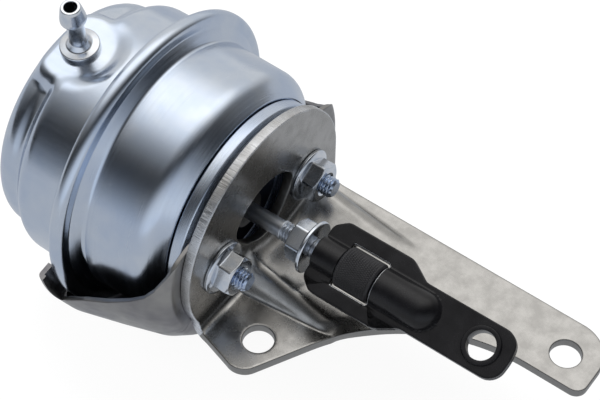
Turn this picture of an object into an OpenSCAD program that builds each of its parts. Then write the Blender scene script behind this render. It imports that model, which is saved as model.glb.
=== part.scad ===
// Vacuum actuator of a variable-vane turbocharger, with its bracket and adjustable rod link.
//
// The model is drawn about the rod: X runs from the canister out to the link's eye,
// Y lies across and Z is square to the bracket's arm, with zero on the rod's axis at the
// bracket's front face. seat() then moves everything so that the origin is the centre of
// the bracket's two mounting holes, on the arm's underside.
// Outlines are lists of [x, y, corner radius]; sheet-metal profiles are lists of
// [x, radius from the rod axis, corner radius].

/* [Canister] */
// Outside radius of the rolled crimp that joins the two shells
crimp_r = 46.5; // [46:0.1:47.5]
// Outside radius of the front shell's wall
front_r = 39; // [38.6:0.1:39.4]
// Outside radius of the rear cap's wall
cap_r = 40; // [39.4:0.1:40.4]
// Outside radius of the raised end of the rear cap
plateau_r = 36; // [35.6:0.1:36.4]
// Distance from the bracket's face back to the cap's end
cap_end = 69.9; // [69:0.1:72]
// Thickness of both shells
shell_t = 1.2; // [1:0.1:1.3]

/* [Hose nipple] */
// Place of the nipple along the canister, behind the bracket's face
nipple_back = 59.3; // [58.5:0.1:60]
// Angle of the nipple round the canister, from +Y towards +Z
nipple_angle = 97; // [80:1:110]
// Lean of the nipple, positive towards the cap's end
nipple_lean = -2; // [-4:1:4]
// Height of the flat pad above the rod axis
pad_height = 37.3; // [36.8:0.1:38]
// Radius of the formed pad under the nipple
pad_r = 13; // [12:0.5:14]
// Length of the nipple above its flange
nipple_len = 16.2; // [14:0.1:20]

/* [Mounting hardware] */
// Distance between the two studs
stud_pitch = 40.2; // [39:0.1:42]
// Length of each stud in front of the bracket
stud_out = 9.75; // [8:0.25:12]
// Radius of the studs and of the threaded rod end
thread_r = 3; // [2.95:0.01:3]
// Outside radius of the thick base ring
ring_r = 33.2; // [32.5:0.1:34]

/* [Bracket] */
// Thickness of the bracket plate
plate_t = 3; // [2.5:0.1:3]
// Outside radius of the upright disc
disc_r = 34.5; // [34.4:0.1:35.5]
// Radius of the disc's central hole
disc_hole_r = 15.5; // [14.5:0.1:16]
// Height of the rod axis above the arm's upper face
arm_drop = 17.4; // [17:0.1:18]
// Radius of the two mounting holes
bolt_r = 4.5; // [4:0.1:4.75]
// Place of the near mounting hole [x, y]
near_hole = [15.3, -24.2];
// Place of the far mounting hole [x, y]
far_hole = [87, 22.1];

/* [Rod and link] */
// Radius of the plain rod
rod_r = 2.6; // [2.4:0.1:2.7]
// Radial clearance of a turning or sliding fit
fit = 0.05; // [0.03:0.01:0.08]
// Roll of the link about the rod
link_roll = 25; // [0:1:35]
// Place of the link's rear edge
link_start = 18.7; // [18.6:0.1:19]
// Place of the link's rounded tip
link_tip = 80.6; // [80:0.1:82]
// Place of the eye's centre
eye_x = 72; // [71.5:0.1:72.5]
// Radius of the eye's bore
eye_r = 4.15; // [3.5:0.05:4.2]
// Thickness of each of the link's two stamped halves
link_t = 1.5; // [1.2:0.1:1.6]

/* [Spring] */
// Mean radius of the return spring
spring_r = 20; // [17:0.5:22]
// Radius of the spring's wire
wire_r = 1.3; // [1:0.1:1.6]
// Number of free turns
spring_turns = 5; // [4:1:7]

/* [Hidden] */
$fn = 96;

zinc = "#cdd5dc";
steel = "#a9a8a4";
dark_steel = "#6f7073";
gloss_black = "#0c0c0e";
matt_black = "#1b1b1d";
rubber = "#26231f";
bronze = "#a98a52";

// stations along the rod, measured from the bracket's front face
crimp_back = -40.5;
crimp_front = -35.8;
flange_back = crimp_back + shell_t;
rim_r = crimp_r - shell_t - 1;
membrane_t = 1.1;
membrane_back = flange_back + shell_t;
front_face = -9.1;
ring_back = -8.7;
cradle_t = 1.5;
plate_back = -plate_t;
ring_front = plate_back - cradle_t;
crown_x = -17;
crown_t = 1.2;
guide_back = -15.5;
guide_front = -5.6;
thread_start = 6.2;
thread_end = 50;
lock_back = 10.8;
lock_len = 6.2;
window_x = [26.6, 38.8];
window_w = 6.6;
nut_x = [27, 38.2];
nut_r = 6.1;
dome_x = 54;
front_tube_r = 5.9;
rear_tube_r = 5;
bend_r = 3;
arm_top = -arm_drop;
arm_under = arm_top - plate_t;
bolt_mid = (near_hole + far_hole) / 2;

// Outline helpers

function unit(v) = v / norm(v);

// Points of the arc of radius r that rounds the corner v between p and q
function corner(p, v, q, r, n) =
    r <= 0 ? [v] :
    let (
        a = unit(p - v),
        b = unit(q - v),
        half = acos(a * b) / 2,
        c = v + unit(a + b) * r / sin(half),
        s = v + a * r / tan(half) - c,
        e = v + b * r / tan(half) - c,
        a0 = atan2(s.y, s.x),
        d = (atan2(e.y, e.x) - a0 + 540) % 360 - 180
    )
    [for (i = [0:n]) c + r * [cos(a0 + d * i / n), sin(a0 + d * i / n)]];

function flat(v) = [v[0], v[1]];

// A closed outline with its corners rounded
function rounded(pts, n = 8) =
    let (m = len(pts))
    [for (i = [0:m - 1])
        each corner(flat(pts[(i + m - 1) % m]), flat(pts[i]), flat(pts[(i + 1) % m]), pts[i][2], n)];

// An open path with its inner corners rounded
function path(pts, n = 5) =
    let (m = len(pts))
    [for (i = [0:m - 1])
        each (i == 0 || i == m - 1) ? [flat(pts[i])] :
            corner(flat(pts[i - 1]), flat(pts[i]), flat(pts[i + 1]), pts[i][2], n)];

// Unit normal to the right of a step
function right_of(a, b) = let (d = unit(b - a)) [d.y, -d.x];

// The point t to the right of point i of a path, kept square to both of its steps
function beside(p, i, t) =
    let (
        m = len(p) - 1,
        n1 = right_of(p[max(i - 1, 0)], p[max(i, 1)]),
        n2 = right_of(p[min(i, m - 1)], p[min(i + 1, m)])
    )
    p[i] + (n1 + n2) * t / (1 + n1 * n2);

// A sheet of thickness t on the right of a path, negative t on its left
function sheet(pts, t, n = 5) =
    let (p = path(pts, n), m = len(p) - 1)
    concat(p, [for (i = [m:-1:0]) beside(p, i, t)]);

// Revolves a profile of [x, radius] about the rod axis
module revolve_x(profile, angle = 360, start = 0) {
    rotate([start, 0, 0])
        rotate([0, 90, 0])
            rotate_extrude(angle = angle)
                polygon([for (p = profile) [p[1], p[0]]]);
}

// A round bar along X between two stations
module bar(x0, x1, r, r2 = -1) {
    translate([x0, 0, 0])
        rotate([0, 90, 0])
            cylinder(h = x1 - x0, r1 = r, r2 = r2 < 0 ? r : r2);
}

// An outline in the YZ plane, thickened from x0 to x1
module plate_yz(x0, x1) {
    translate([x0, 0, 0])
        rotate([90, 0, 90])
            linear_extrude(height = x1 - x0)
                children();
}

// Moves the rod-centred drawing into the part's own frame
module seat() {
    translate([-bolt_mid.x, -bolt_mid.y, -arm_under])
        children();
}

// Stands a child drawn along +Z on the canister, at the nipple's place
module at_nipple(height) {
    rotate([nipple_angle - 90, 0, 0])
        translate([-nipple_back, 0, height])
            children();
}

// Rolls the link's drawing, flat in XY, about the rod
module link_frame() {
    rotate([link_roll, 0, 0])
        children();
}

// Canister

cap_path = [
    [flange_back, rim_r, 0],
    [flange_back, cap_r, 1.4],
    [-56.6, cap_r - 0.2, 4.5],
    [-60.2, plateau_r - 1, 2.2],
    [-63.5, plateau_r - 0.1, 3],
    [-cap_end, plateau_r - 0.5, 6],
    [-cap_end, 0, 0]
];

// The space under the pad, or the whole pad for t = shell_t
module pad_form(t, low, high, rear) {
    intersection() {
        at_nipple(low)
            cylinder(h = high - low, r = pad_r - shell_t + t);
        bar(rear, -44, 60);
    }
}

pad_rear = -cap_end + 1.6;

module cap_shell() {
    color(zinc)
        union() {
            difference() {
                revolve_x(sheet(cap_path, -shell_t));
                pad_form(0, 20, 50, pad_rear + shell_t);
            }
            difference() {
                intersection() {
                    pad_form(shell_t, 31.5, 41, pad_rear);
                    bar(-80, -40, cap_r - 0.5);
                }
                pad_form(0, pad_height, 50, -90);
                at_nipple(pad_height)
                    translate([-40, -20, 0])
                        cube([41.5, 40, 10]);
                pad_form(0, 20, pad_height - shell_t, pad_rear + shell_t);
                at_nipple(20)
                    cylinder(h = 30, r = 2.4);
            }
        }
}

base_path = [
    [crimp_back, crimp_r - 4.3, 0],
    [crimp_back, crimp_r, 2.1],
    [crimp_front, crimp_r, 2.1],
    [crimp_front + 0.2, front_r + 3.6, 1],
    [-33.2, front_r + 0.2, 1.2],
    [-14.7, front_r - 0.3, 1.6],
    [front_face, ring_r + 0.2, 1],
    [front_face, 28, 0],
    [ring_back, 27.6, 0],
    [ring_back, 17, 0.8],
    [-11.5, 15, 0.8],
    [-11.5, 5.6, 0]
];

module base_shell() {
    color(zinc)
        revolve_x(sheet(base_path, shell_t));
}

module hose_nipple() {
    top = nipple_len + 2.2;
    color(zinc)
        at_nipple(pad_height)
            difference() {
                union() {
                    translate([0, 0, -2.4])
                        cylinder(h = 2.5, r = 2.3);
                    cylinder(h = 1.7, r = 5.7);
                    translate([0, 0, 1.7])
                        cylinder(h = 0.5, r1 = 5.7, r2 = 5.1);
                    rotate([0, -nipple_lean, 0])
                        rotate_extrude()
                            polygon([
                                [0, 1], [3.4, 1], [3.4, 2.6], [2.6, 3.4], [2.6, top - 6.2],
                                [3.75, top - 5.4], [3.75, top - 4.6], [3, top - 0.4],
                                [2.6, top], [0, top]
                            ]);
                }
                rotate([0, -nipple_lean, 0])
                    translate([0, 0, -4])
                        cylinder(h = top + 8, r = 1.85);
            }
}

// Inner works

cup_r = 32;
cup_back = -35;

module diaphragm() {
    rim = path([
        [membrane_back, rim_r - 0.2, 0],
        [membrane_back, front_r - 2.6, 0.6],
        [membrane_back - 3.4, front_r - 3.4, 1.2],
        [membrane_back - 3.4, cup_r + 1.3, 1.2],
        [crown_x - 1, cup_r + 0.1, 0.5],
        [crown_x - 1, thread_r, 0]
    ]);
    m = len(rim) - 1;
    color(rubber)
        revolve_x(concat(rim, [for (i = [m:-1:0]) beside(rim, i, -1)]));
}

module piston_cup() {
    color(steel)
        revolve_x(sheet([
            [cup_back, cup_r, 0],
            [crown_x - 1, cup_r, 2],
            [crown_x - 1, rod_r + 0.02, 0]
        ], 1));
}

module retainer_plate() {
    color(steel)
        revolve_x([
            [crown_x, rod_r], [crown_x, 24], [crown_x + 0.6, 24.6], [crown_x + crown_t, 24],
            [crown_x + crown_t, rod_r]
        ]);
}

// Return spring: a round wire swept along a helix, with a flat dead turn at each end
spring_x0 = -cap_end + shell_t + wire_r;
spring_x1 = crown_x - 2 - wire_r;
spring_steps = 24;

function spring_rise(u) =
    let (total = spring_turns + 2, v = u * total)
    v < 1 ? 0 : v > total - 1 ? 1 : (v - 1) / (total - 2);

module return_spring() {
    total = (spring_turns + 2) * spring_steps;
    sides = 8;
    pitch = 2 * wire_r + 0.15;
    low = spring_x0;
    high = spring_x1;
    rings = [for (i = [0:total])
        let (
            u = i / total,
            a = 360 * i / spring_steps,
            turns = i / spring_steps,
            early = min(turns, 1) * pitch,
            late = max(turns - spring_turns - 1, 0) * pitch,
            x = low + early + late + spring_rise(u) * (high - low - 2 * pitch)
        )
        [for (k = [0:sides - 1])
            let (b = 360 * k / sides, r = spring_r + wire_r * cos(b))
            [x + wire_r * sin(b), r * cos(a), r * sin(a)]]];
    color(steel)
        polyhedron(
            points = [for (ring = rings) each ring],
            faces = concat(
                [[for (k = [sides - 1:-1:0]) k]],
                [for (i = [0:total - 1], k = [0:sides - 1])
                    [i * sides + k, i * sides + (k + 1) % sides,
                     (i + 1) * sides + (k + 1) % sides, (i + 1) * sides + k]],
                [[for (k = [0:sides - 1]) total * sides + k]]
            )
        );
}

module rod() {
    color(zinc)
        union() {
            bar(crown_x - 4, crown_x - 2, 5, 5);
            bar(crown_x - 2.5, thread_start, rod_r);
            bar(thread_start, thread_start + 0.5, rod_r, thread_r - fit / 2);
            bar(thread_start + 0.5, thread_end - 1, thread_r - fit / 2);
            bar(thread_end - 1, thread_end, thread_r - fit / 2, thread_r - 0.8);
        }
}

module rod_guide() {
    color(bronze)
        difference() {
            union() {
                bar(guide_back, guide_front, 5.55);
                bar(guide_back, -11.5 - shell_t, 9);
            }
            bar(guide_back - 1, guide_front + 1, rod_r + fit);
        }
}

// Mounting hardware

module stud_holes(r, x0, x1) {
    for (side = [-1, 1])
        translate([0, side * stud_pitch / 2, 0])
            bar(x0, x1, r);
}

module base_ring() {
    color(zinc)
        difference() {
            revolve_x([
                [ring_back, 17.2], [ring_back, ring_r - 0.4], [ring_back + 0.4, ring_r],
                [ring_front - 0.8, ring_r], [ring_front, ring_r - 0.8], [ring_front, 17.2]
            ]);
            stud_holes(thread_r, ring_back - 1, ring_front + 1);
            stud_holes(5, ring_back - 1, ring_back + 1.4);
        }
}

module stud(side) {
    color(zinc)
        translate([0, side * stud_pitch / 2, 0])
            union() {
                bar(ring_back, ring_back + 1.4, 5);
                bar(ring_back, stud_out - 0.7, thread_r);
                bar(stud_out - 0.7, stud_out, thread_r, thread_r - 0.7);
            }
}

module stud_near() {
    stud(-1);
}

module stud_far() {
    stud(1);
}

// Hexagon nut with a conical washer flange at x = 0, growing towards +X
module flange_nut(bore, flange_r, flats, length) {
    tip = flats / cos(30) / 2;
    difference() {
        union() {
            bar(0, 1.1, flange_r);
            bar(1.1, 2.2, flange_r, flats / 2);
            intersection() {
                translate([1, 0, 0])
                    rotate([0, 90, 0])
                        cylinder(h = length - 1, r = tip, $fn = 6);
                union() {
                    bar(0, length - 0.7, tip);
                    bar(length - 0.7, length, tip, tip - 0.9);
                }
            }
        }
        bar(-1, length + 1, bore);
        bar(length - 0.5, length + 0.1, bore, bore + 0.6);
    }
}

module flange_nut_near() {
    color(zinc)
        translate([0, -stud_pitch / 2, 0])
            rotate([12, 0, 0])
                flange_nut(thread_r + 0.02, 7.1, 10, 6);
}

module flange_nut_far() {
    color(zinc)
        translate([0, stud_pitch / 2, 0])
            rotate([22, 0, 0])
                flange_nut(thread_r + 0.02, 7.1, 10, 6);
}

module lock_nut() {
    color(zinc)
        translate([lock_back + lock_len, 0, 0])
            rotate([8, 0, 0])
                mirror([1, 0, 0])
                    flange_nut(thread_r + fit / 2, 7.3, 10, lock_len);
}

// Bracket

side_near = -31.9;
side_far = 34.4;
rib_y = [-7, 23];
rib_len = 38;
rib_rise = 9.2;
rib_r = 6.8;
valley_sink = 1.7;

function arm_outline(x0) = [
    [x0, side_near, 0],
    [18.8, -37.2, 4.5],
    [45.6, 12.4, 60],
    [97.3, 12, 3.5],
    [97.3, 33.2, 11],
    [42, side_far, 90],
    [x0, side_far, 0]
];

// One pressed rib: a bar that sinks from the disc into the arm, shrunk by t
module rib(y, t) {
    x0 = t > 0 ? 2 : -1;
    translate([0, y, arm_top + rib_rise])
        rotate([0, atan(rib_rise / rib_len), 0])
            translate([0, 0, -rib_r])
                bar(x0, rib_len + 6, rib_r - t);
}

// The shallow valley between the ribs
module valley(t) {
    x0 = t > 0 ? 2 : -1;
    fall = rib_rise / rib_len;
    depth = valley_sink + t;
    translate([0, rib_y[1] + 1, 0])
        rotate([90, 0, 0])
            linear_extrude(height = rib_y[1] - rib_y[0] + 2)
                polygon([
                    [x0, arm_under - 1],
                    [x0, arm_top + rib_rise - depth - fall * x0],
                    [rib_len, arm_top - depth],
                    [rib_len, arm_under - 1]
                ]);
}

module bracket_disc() {
    foot = arm_top + bend_r;
    difference() {
        union() {
            intersection() {
                bar(-plate_t, 0, disc_r);
                translate([-10, side_far - 100, foot])
                    cube([20, 100, 100]);
            }
            translate([-plate_t, 0, foot])
                cube([plate_t, side_far, -foot]);
            translate([-plate_t, side_near, foot])
                cube([plate_t, side_far - side_near, 1]);
        }
        bar(-plate_t - 1, 1, disc_hole_r);
        stud_holes(thread_r + 0.3, -plate_t - 1, 1);
    }
}

module bracket_bend() {
    translate([bend_r, side_near, arm_top + bend_r])
        rotate([-90, 0, 0])
            rotate([0, 0, 90])
                rotate_extrude(angle = 90)
                    translate([bend_r, 0])
                        square([plate_t, side_far - side_near]);
}

module bracket() {
    color(steel)
        difference() {
            union() {
                bracket_disc();
                bracket_bend();
                translate([0, 0, arm_under])
                    linear_extrude(height = plate_t)
                        polygon(rounded(arm_outline(bend_r)));
                intersection() {
                    union() {
                        rib(rib_y[0], 0);
                        rib(rib_y[1], 0);
                        valley(0);
                    }
                    translate([0, 0, arm_under + 0.5])
                        linear_extrude(height = 30)
                            polygon(rounded(arm_outline(-0.5)));
                }
            }
            intersection() {
                union() {
                    rib(rib_y[0], plate_t);
                    rib(rib_y[1], plate_t);
                    valley(plate_t);
                }
                translate([5, -30, arm_under - 5])
                    cube([60, 70, 40]);
            }
            for (p = [near_hole, far_hole])
                translate([p.x, p.y, arm_under - 1])
                    cylinder(h = plate_t + 2, r = bolt_r);
        }
}

// Thin cradle clamped behind the bracket, wrapped under the canister

cradle_path = [
    [plate_back, 34, 0],
    [plate_back, 38.8, 3],
    [-9, 42.6, 6],
    [-21, 46, 12],
    [-35, 49.6, 6],
    [-42.8, 49.8, 1.6],
    [-42.8, 44.8, 0]
];

// The wrap's upper edge seen from the side, closed round the metal that is cut away
wing_x = -5.2;
cradle_edge = [
    [wing_x, 8.6], [-6.2, 5], [-7.8, 2.4], [-13, -1], [-19.5, -5], [-27, -9.4],
    [-35, -15], [-41.25, -22.5], [-41.25, -6], [-46, -6], [-46, 36], [wing_x, 36]
];

// The same edge on the flat plate, seen along the rod
wing_edge = [
    [22, 30, 0], [22, 24, 0], [31, 17, 4], [35, 15, 3], [38.3, 11.2, 2], [39.2, 8.6, 0],
    [50, 8.6, 0], [50, 30, 0]
];

module support_cradle() {
    color(dark_steel)
        difference() {
            union() {
                bar(ring_front, plate_back, 35.2);
                difference() {
                    revolve_x(sheet(cradle_path, -cradle_t), angle = 256, start = -128);
                    translate([0, 60, 0])
                        rotate([90, 0, 0])
                            linear_extrude(height = 120)
                                polygon(cradle_edge);
                    for (side = [0, 1])
                        mirror([0, side, 0])
                            plate_yz(wing_x, plate_back + 1)
                                polygon(rounded(wing_edge));
                }
            }
            bar(ring_front - 1, plate_back + 1, 17.5);
            stud_holes(thread_r + 0.3, ring_front - 1, plate_back + 1);
        }
}

// Rod link

link_outline = [
    [link_start, -8.2, 3],
    [22.4, -11.1, 3],
    [43.6, -11.1, 4],
    [50, -7.35, 4],
    [link_tip - 0.4, -7.35, 5],
    [link_tip + 0.3, 0, 14],
    [link_tip - 0.4, 7.35, 5],
    [50, 7.35, 4],
    [43.6, 11.1, 4],
    [22.4, 11.1, 3],
    [link_start, 8.2, 3]
];

// The two aligned barrels that are pressed into each half, shrunk by t
module link_barrels(t) {
    bar(link_start - (t > 0 ? 1 : 0), window_x[0] + 0.1, rear_tube_r - t);
    bar(window_x[1] - 0.1, dome_x, front_tube_r - t);
    translate([dome_x, 0, 0])
        rotate([0, 90, 0])
            sphere(r = front_tube_r - t);
}

module link_half(side) {
    color(gloss_black)
        link_frame()
            difference() {
                union() {
                    translate([0, 0, side > 0 ? 0 : -link_t])
                        linear_extrude(height = link_t)
                            polygon(rounded(link_outline, 5));
                    intersection() {
                        link_barrels(0);
                        translate([0, -20, side > 0 ? 0 : -20])
                            cube([90, 40, 20]);
                    }
                }
                link_barrels(link_t);
                translate([window_x[0], -window_w, -10])
                    cube([window_x[1] - window_x[0], 2 * window_w, 20]);
                translate([eye_x, 0, -10])
                    cylinder(h = 20, r = eye_r + 0.9);
            }
}

module link_upper_half() {
    link_half(1);
}

module link_lower_half() {
    link_half(-1);
}

module eye_bush() {
    reach = link_t + 0.7;
    color(gloss_black)
        link_frame()
            translate([eye_x, 0, 0])
                rotate_extrude()
                    polygon([
                        [eye_r, -reach], [eye_r + 1.2, -reach], [eye_r + 1.5, -reach + 0.3],
                        [eye_r + 1.5, -link_t], [eye_r + 0.9, -link_t], [eye_r + 0.9, link_t],
                        [eye_r + 1.5, link_t], [eye_r + 1.5, reach - 0.3], [eye_r + 1.2, reach],
                        [eye_r, reach]
                    ]);
}

module adjuster_nut() {
    color(matt_black)
        difference() {
            union() {
                bar(nut_x[0], nut_x[0] + 0.5, nut_r - 0.5, nut_r);
                bar(nut_x[0] + 0.5, nut_x[1] - 0.5, nut_r);
                bar(nut_x[1] - 0.5, nut_x[1], nut_r, nut_r - 0.5);
            }
            bar(nut_x[0] - 1, nut_x[1] + 1, thread_r + fit / 2);
        }
}

seat() cap_shell();
seat() base_shell();
seat() hose_nipple();
seat() diaphragm();
seat() piston_cup();
seat() retainer_plate();
seat() return_spring();
seat() rod();
seat() rod_guide();
seat() base_ring();
seat() stud_near();
seat() stud_far();
seat() flange_nut_near();
seat() flange_nut_far();
seat() bracket();
seat() support_cradle();
seat() lock_nut();
seat() link_upper_half();
seat() link_lower_half();
seat() adjuster_nut();
seat() eye_bush();
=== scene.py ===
import math

import bmesh
import bpy
import numpy as np
from bpy.props import FloatProperty, FloatVectorProperty, IntProperty, PointerProperty
from mathutils import Matrix, Vector


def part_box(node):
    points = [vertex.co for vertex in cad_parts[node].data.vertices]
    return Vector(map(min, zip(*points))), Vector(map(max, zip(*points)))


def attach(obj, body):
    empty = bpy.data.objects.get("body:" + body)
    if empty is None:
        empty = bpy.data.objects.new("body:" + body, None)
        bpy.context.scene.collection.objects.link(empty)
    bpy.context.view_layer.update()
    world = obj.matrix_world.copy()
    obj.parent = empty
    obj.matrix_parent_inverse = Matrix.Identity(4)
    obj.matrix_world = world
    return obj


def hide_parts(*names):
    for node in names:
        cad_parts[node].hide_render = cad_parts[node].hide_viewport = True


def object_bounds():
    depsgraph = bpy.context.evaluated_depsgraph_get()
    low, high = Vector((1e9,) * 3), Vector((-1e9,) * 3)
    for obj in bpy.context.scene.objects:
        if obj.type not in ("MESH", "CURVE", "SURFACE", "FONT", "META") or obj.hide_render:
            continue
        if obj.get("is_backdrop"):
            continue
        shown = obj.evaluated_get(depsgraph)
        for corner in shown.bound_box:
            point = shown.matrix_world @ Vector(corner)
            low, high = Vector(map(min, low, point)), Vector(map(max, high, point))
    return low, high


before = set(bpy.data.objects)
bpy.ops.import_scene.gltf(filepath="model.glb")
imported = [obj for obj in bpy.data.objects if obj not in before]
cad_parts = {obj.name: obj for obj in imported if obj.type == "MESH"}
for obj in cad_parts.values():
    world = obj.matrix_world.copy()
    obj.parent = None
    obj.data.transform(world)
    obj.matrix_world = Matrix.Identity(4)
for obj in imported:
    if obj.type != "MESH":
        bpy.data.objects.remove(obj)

bl_info = {
    "name": "Turbo actuator dressing",
    "version": (1, 0, 0),
    "blender": (4, 5, 0),
    "location": "View3D > Sidebar > Actuator",
    "description": "Dresses the packed turbo actuator with pressed, turned and threaded surfaces",
    "category": "Object",
}

MM = 0.001
TURN = 2 * math.pi

# Lengths in this file's shapes are millimetres about the rod: X along the rod from the
# bracket's face towards the link's eye, Y across, Z square to the bracket's arm.
RING_BACK = -8.7
_low, _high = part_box("base_ring")
SEAT = np.array([
    _low[0] / MM - RING_BACK,
    (_low[1] + _high[1]) / 2 / MM,
    (_low[2] + _high[2]) / 2 / MM,
])
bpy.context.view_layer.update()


def linear(code):
    """A hex sRGB colour as linear red, green, blue."""
    parts = [int(code[i:i + 2], 16) / 255 for i in (1, 3, 5)]
    return tuple(p / 12.92 if p <= 0.04045 else ((p + 0.055) / 1.055) ** 2.4 for p in parts)


def length(name, text, mm):
    """A length property whose default is given in millimetres."""
    return FloatProperty(name=name, description=text, default=mm * MM, subtype="DISTANCE", unit="LENGTH",
                         precision=5)


def colour(name, text, code):
    """A colour property whose default is given as sRGB hex."""
    return FloatVectorProperty(name=name, description=text, default=linear(code), subtype="COLOR", size=3,
                               min=0.0, max=1.0)


class ActuatorSizes(bpy.types.PropertyGroup):
    crimp_radius: length("Crimp radius", "Outside radius of the rolled crimp", 46.5)
    cap_radius: length("Cap radius", "Outside radius of the rear cap's wall", 40.0)
    plateau_radius: length("Plateau radius", "Radius of the cap's raised end", 36.2)
    front_radius: length("Front radius", "Outside radius of the front shell's wall", 39.2)
    ring_radius: length("Ring radius", "Outside radius of the thick base ring", 33.2)
    pad_height: length("Pad height", "Height of the nipple's flat pad over the rod's axis", 37.3)
    nipple_length: length("Nipple length", "Height of the nipple over its pad", 18.4)
    nut_flats: length("Nut flats", "Distance across the flats of all three nuts", 11.2)
    thread_pitch: length("Thread pitch", "Distance between two turns of the thread", 1.0)
    link_roll: FloatProperty(name="Link roll", description="Roll of the link about the rod",
                             default=math.radians(25), subtype="ANGLE", unit="ROTATION")
    knurl_count: IntProperty(name="Knurl count", description="Ridges round the adjuster nut", default=60,
                             min=12, max=90)


class ActuatorColours(bpy.types.PropertyGroup):
    zinc: colour("Zinc plate", "Bright zinc plate on the canister", "#CBD3DE")
    zinc_blue: colour("Zinc tint", "Bluish passivation film on the zinc", "#BCC8DA")
    stud_zinc: colour("Stud zinc", "Blue zinc of the studs", "#A6B4CC")
    nut_zinc: colour("Nut zinc", "Bright zinc of the nuts", "#DADDE2")
    steel: colour("Bracket steel", "Satin steel of the bracket", "#A6A5A3")
    steel_dark: colour("Bracket shade", "Darker mottle of the bracket", "#999896")
    cradle: colour("Cradle steel", "Dark satin steel of the cradle", "#77767A")
    black: colour("Link black", "Gloss black coat of the link", "#08080A")
    matt_black: colour("Adjuster black", "Matt black coat of the adjuster nut", "#151517")
    rubber: colour("Diaphragm", "Black rubber of the diaphragm", "#1D1B1A")
    # painted shade: the rod guide's bronze is made near black like the shaded inside of the canister
    bronze: colour("Guide bronze", "Bronze of the rod guide, darkened as painted shade", "#1D1A17")
    edge: colour("Sheared edge", "Bare sheared edge of the bracket", "#8E8D8B")
    # painted shade: the near-black colour of the zinc deep inside the canister
    well_painted_shade: colour("Painted well shade", "Zinc inside the canister, darkened as painted shade", "#262A35")
    floor: colour("Floor", "Pale studio floor", "#F4F4F4")


# Flat geometry


def rounded(points, steps=8, closed=True):
    """Corners [x, y, radius] as a smooth outline: each corner becomes the arc that is tangent to both its
    legs."""
    pts = np.array([p[:2] for p in points], float)
    out = []
    for i, p in enumerate(points):
        v = pts[i]
        if (not closed and i in (0, len(pts) - 1)) or p[2] <= 0:
            out.append(v[None])
            continue
        a = pts[i - 1] - v
        b = pts[(i + 1) % len(pts)] - v
        a, b = a / np.linalg.norm(a), b / np.linalg.norm(b)
        half = math.acos(np.clip(a @ b, -1, 1)) / 2
        mid = v + (a + b) / np.linalg.norm(a + b) * p[2] / math.sin(half)
        start = v + a * p[2] / math.tan(half) - mid
        end = v + b * p[2] / math.tan(half) - mid
        a0 = math.atan2(start[1], start[0])
        turn = (math.atan2(end[1], end[0]) - a0 + 3 * math.pi) % TURN - math.pi
        t = a0 + turn * np.linspace(0, 1, steps + 1)
        out.append(mid + p[2] * np.stack([np.cos(t), np.sin(t)], 1))
    return np.concatenate(out)


def beside(path, t):
    """Each point of an open path moved t to the left of its two steps, kept square to both."""
    step = np.diff(path, axis=0)
    step /= np.linalg.norm(step, axis=1)[:, None]
    left = np.stack([-step[:, 1], step[:, 0]], 1)
    a = np.concatenate([left[:1], left])
    b = np.concatenate([left, left[-1:]])
    return path + t * (a + b) / (1 + (a * b).sum(1))[:, None]


def outline_distance(p, poly):
    """Signed distance from points p (N, 2) to a closed outline: nearest leg's distance, negative inside by
    crossings."""
    best = np.full(len(p), 1e9)
    inside = np.zeros(len(p), bool)
    nxt = np.roll(poly, -1, 0)
    for a, b in zip(poly, nxt):
        d, w = b - a, p - a
        t = np.clip((w @ d) / max(d @ d, 1e-12), 0, 1)
        best = np.minimum(best, ((w - t[:, None] * d) ** 2).sum(1))
        crosses = (a[1] > p[:, 1]) != (b[1] > p[:, 1])
        if abs(d[1]) > 1e-12:
            inside ^= crosses & (p[:, 0] < a[0] + (p[:, 1] - a[1]) * d[0] / d[1])
    return np.where(inside, -1, 1) * np.sqrt(best)


def disc_distance(p, centre, radius):
    """Signed distance to a circle: distance to its centre less its radius."""
    return np.hypot(p[:, 0] - centre[0], p[:, 1] - centre[1]) - radius


def rectangle_distance(p, low, high, radius):
    """Signed distance to a rectangle with rounded corners."""
    low, high = np.array(low), np.array(high)
    q = np.abs(p - (low + high) / 2) - (high - low) / 2 + radius
    return np.hypot(*np.maximum(q, 0).T) + np.minimum(q.max(1), 0) - radius


def smooth(t):
    """The S-curve 3t^2 - 2t^3, held at 0 and 1 outside its range."""
    t = np.clip(t, 0, 1)
    return t * t * (3 - 2 * t)


# Surfaces


def quads(rows, cols, wrap_rows=False, wrap_cols=False):
    """Faces of a grid of rows x cols points, joined end to end where it wraps."""
    index = np.arange(rows * cols).reshape(rows, cols)
    if wrap_rows:
        index = np.concatenate([index, index[:1]], 0)
    if wrap_cols:
        index = np.concatenate([index, index[:, :1]], 1)
    return np.stack([index[:-1, :-1], index[:-1, 1:], index[1:, 1:], index[1:, :-1]], -1).reshape(-1, 4)


def around(x, radius, angle):
    """Points about the rod: x, radius cos(angle), radius sin(angle)."""
    return np.stack(np.broadcast_arrays(x, radius * np.cos(angle), radius * np.sin(angle)), -1)


def revolve(profile, segments, shift=None):
    """A closed (x, radius) profile turned about the rod. Point (i, j) is x_i, radius_i cos(a_j),
    radius_i sin(a_j); shift(x, radius, angle) may move the radius."""
    profile = np.asarray(profile, float)
    x, radius = profile[:, :1], profile[:, 1:]
    angle = np.arange(segments) * TURN / segments
    if shift is not None:
        radius = shift(x, radius, angle)
    return around(x, radius, angle).reshape(-1, 3), quads(len(profile), segments, True, True)


def dense(profile, step, closed=True):
    """A profile with extra points so that no leg is longer than step."""
    profile = np.asarray(profile, float)
    ends = np.roll(profile, -1, 0) if closed else profile[1:]
    out = []
    for a, b in zip(profile, ends):
        n = max(1, int(math.ceil(np.linalg.norm(b - a) / step)))
        out.append(a + (b - a) * (np.arange(n) / n)[:, None])
    if not closed:
        out.append(profile[-1:])
    return np.concatenate(out)


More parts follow.
